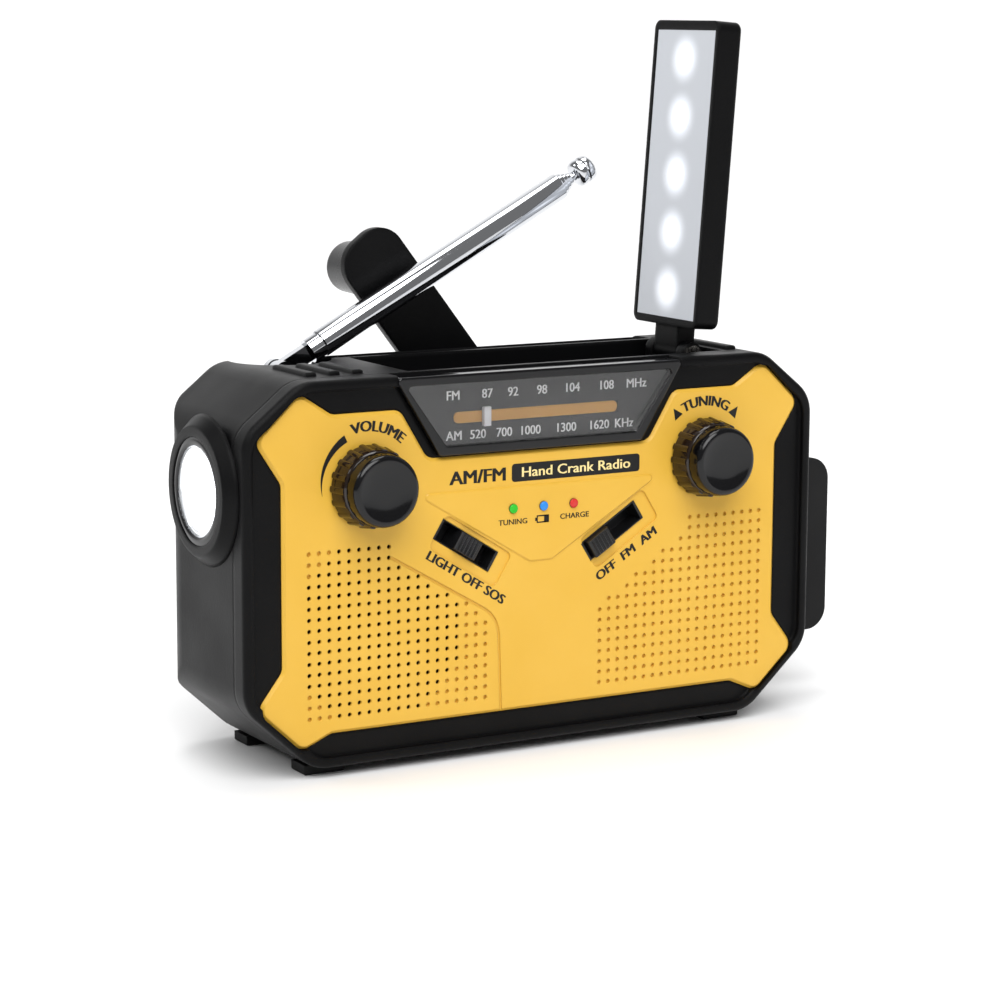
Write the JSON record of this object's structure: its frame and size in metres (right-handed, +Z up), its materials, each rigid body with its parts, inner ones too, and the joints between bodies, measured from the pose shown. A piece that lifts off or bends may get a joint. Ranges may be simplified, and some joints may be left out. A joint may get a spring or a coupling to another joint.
{
  "type": "emergency radio",
  "caption": "Hand-crank AM/FM emergency radio with a flip-up reading lamp, a side flashlight, a telescopic antenna and a port flap.",
  "frame": {"origin": "on the plane the rubber feet rest on, under the middle of the case width and depth", "axes": "+Z up, -Y out of the front panel, +X to the right seen from the front"},
  "size_m": [0.1745, 0.0757, 0.168],
  "materials": {
    "black_abs": "fine moulded texture, satin",
    "yellow_abs": "satin moulded",
    "gloss_black": "polished",
    "smoked_skirt": "translucent smoked brown",
    "clear_window": "clear polycarbonate",
    "dial_print": "printed scale",
    "pointer_white": "plain",
    "diffuser_white": "opal diffuser",
    "solar_cells": "laminated solar cells",
    "chrome_tube": "bright plated",
    "steel": "zinc plated",
    "white_nylon": "natural acetal",
    "circuit_board": "solder mask",
    "black_socket": "moulded",
    "rubber_black": "soft matt",
    "ferrite": "sintered",
    "paper_cone": "pressed paper",
    "cell_wrap": "shrink wrap",
    "led_lens": "epoxy lens"
  },
  "bodies": {
    "case": {"rear_shell": "black_abs", "front_bezel": "black_abs", "front_panel": "yellow_abs", "dial_frame": "gloss_black", "dial_window": "clear_window", "dial_scale": "dial_print", "volume_potentiometer": "black_socket", "tuning_condenser": "white_nylon", "switch_bodies": "black_socket", "indicator_lights": "led_lens", "speaker_frame": "steel", "speaker_cone": "paper_cone", "circuit_boards": "circuit_board", "usb_socket": "steel", "headphone_socket": "black_socket", "charging_socket": "black_socket", "ferrite_aerial": "ferrite", "lithium_cell": "cell_wrap", "dry_cells": "cell_wrap", "battery_contacts": "steel", "dynamo": "steel", "gearbox_plate": "steel", "lamp_hinge_pin": "steel", "flashlight_bezel": "black_abs", "flashlight_lens": "clear_window", "flashlight_reflector": "chrome_tube", "flashlight_led": "led_lens", "flap_hinge": "rubber_black", "rubber_feet": "rubber_black", "case_screws": "steel"},
    "crank": {"crank_arm": "black_abs", "crank_shaft": "steel", "crank_screw": "steel", "crank_gear": "white_nylon", "grip_pin": "steel"},
    "crank_handle": {"crank_grip": "gloss_black"},
    "idler": {"idler_gear": "white_nylon"},
    "rotor": {"dynamo_rotor": "steel"},
    "lamp": {"lamp_housing": "black_abs", "lamp_diffuser": "diffuser_white", "lamp_led_board": "circuit_board", "solar_panel": "solar_cells"},
    "aerial_swivel": {"antenna_base": "chrome_tube"},
    "aerial_tube": {"antenna_knuckle": "chrome_tube", "antenna_tube": "chrome_tube"},
    "aerial_1": {"antenna_section_1": "chrome_tube"},
    "aerial_2": {"antenna_section_2": "chrome_tube"},
    "aerial_3": {"antenna_section_3": "chrome_tube"},
    "aerial_4": {"antenna_section_4": "chrome_tube"},
    "volume_knob": {"volume_knob_cap": "gloss_black", "volume_knob_skirt": "smoked_skirt", "volume_shaft": "white_nylon"},
    "tuning_knob": {"tuning_knob_cap": "gloss_black", "tuning_knob_skirt": "smoked_skirt", "tuning_spindle": "white_nylon"},
    "pointer": {"dial_pointer": "pointer_white"},
    "light_slider": {"light_switch_slider": "gloss_black"},
    "band_slider": {"band_switch_slider": "gloss_black"},
    "flap": {"port_flap": "rubber_black"},
    "door": {"battery_door": "black_abs"}
  },
  "joints": [
    {"name": "crank_turn", "type": "hinge", "parent": "case", "child": "crank", "pos_m": [0.028, 0.023, 0.052], "axis": [0, 1, 0], "continuous": true},
    {"name": "grip_spin", "type": "hinge", "parent": "crank", "child": "crank_handle", "pos_m": [-0.01602, 0.035, 0.10834], "axis": [0, 1, 0], "continuous": true},
    {"name": "idler_spin", "type": "hinge", "parent": "case", "child": "idler", "pos_m": [0.04113, 0.012, 0.02927], "axis": [0, 1, 0], "continuous": true},
    {"name": "rotor_spin", "type": "hinge", "parent": "case", "child": "rotor", "pos_m": [0.05237, 0.005, 0.04875], "axis": [0, 1, 0], "continuous": true},
    {"name": "lamp_fold", "type": "hinge", "parent": "case", "child": "lamp", "pos_m": [0.0497, -0.0022, 0.0886], "axis": [0, 1, 0], "range_deg": [-94.3, 0]},
    {"name": "aerial_turn", "type": "hinge", "parent": "case", "child": "aerial_swivel", "pos_m": [-0.047, 0.0174, 0.0834], "axis": [0, 0, 1], "range_deg": [-180, 0]},
    {"name": "aerial_tilt", "type": "hinge", "parent": "aerial_swivel", "child": "aerial_tube", "pos_m": [-0.047, 0.0174, 0.0872], "axis": [0, 1, 0], "range_deg": [-61.6, 28.4]},
    {"name": "aerial_slide_1", "type": "slide", "parent": "aerial_tube", "child": "aerial_1", "axis": [-0.8796, 0, -0.4756], "range_m": [-0.062, 0]},
    {"name": "aerial_slide_2", "type": "slide", "parent": "aerial_1", "child": "aerial_2", "axis": [-0.8796, 0, -0.4756], "range_m": [-0.062, 0]},
    {"name": "aerial_slide_3", "type": "slide", "parent": "aerial_2", "child": "aerial_3", "axis": [-0.8796, 0, -0.4756], "range_m": [-0.062, 0]},
    {"name": "aerial_slide_4", "type": "slide", "parent": "aerial_3", "child": "aerial_4", "axis": [-0.8796, 0, -0.4756], "range_m": [-0.062, 0]},
    {"name": "volume_turn", "type": "hinge", "parent": "case", "child": "volume_knob", "pos_m": [-0.045, -0.028, 0.0658], "axis": [0, 1, 0], "range_deg": [-60, 210]},
    {"name": "tuning_turn", "type": "hinge", "parent": "case", "child": "tuning_knob", "pos_m": [0.045, -0.028, 0.0658], "axis": [0, 1, 0], "range_deg": [-64, 440]},
    {"name": "pointer_slide", "type": "slide", "parent": "case", "child": "pointer", "axis": [1, 0, 0], "range_m": [-0.0047, 0.0323]},
    {"name": "light_switch", "type": "slide", "parent": "case", "child": "light_slider", "axis": [0.848, 0, -0.5299], "range_m": [-0.0042, 0.0042]},
    {"name": "band_switch", "type": "slide", "parent": "case", "child": "band_slider", "axis": [0.848, 0, 0.5299], "range_m": [0, 0.0084]},
    {"name": "flap_close", "type": "hinge", "parent": "case", "child": "flap", "pos_m": [0.07725, -0.003, 0.0375], "axis": [0, 0, -1], "range_deg": [0, 88]},
    {"name": "door_open", "type": "hinge", "parent": "case", "child": "door", "pos_m": [-0.036, 0.022, 0.0282], "axis": [-1, 0, 0], "range_deg": [0, 95]}
  ],
  "couplings": [
    {"joint": "idler_spin", "follows": "crank_turn", "ratio": -4},
    {"joint": "rotor_spin", "follows": "crank_turn", "ratio": 16},
    {"joint": "pointer_slide", "follows": "tuning_turn", "m_per_rad": 0.0042}
  ]
}
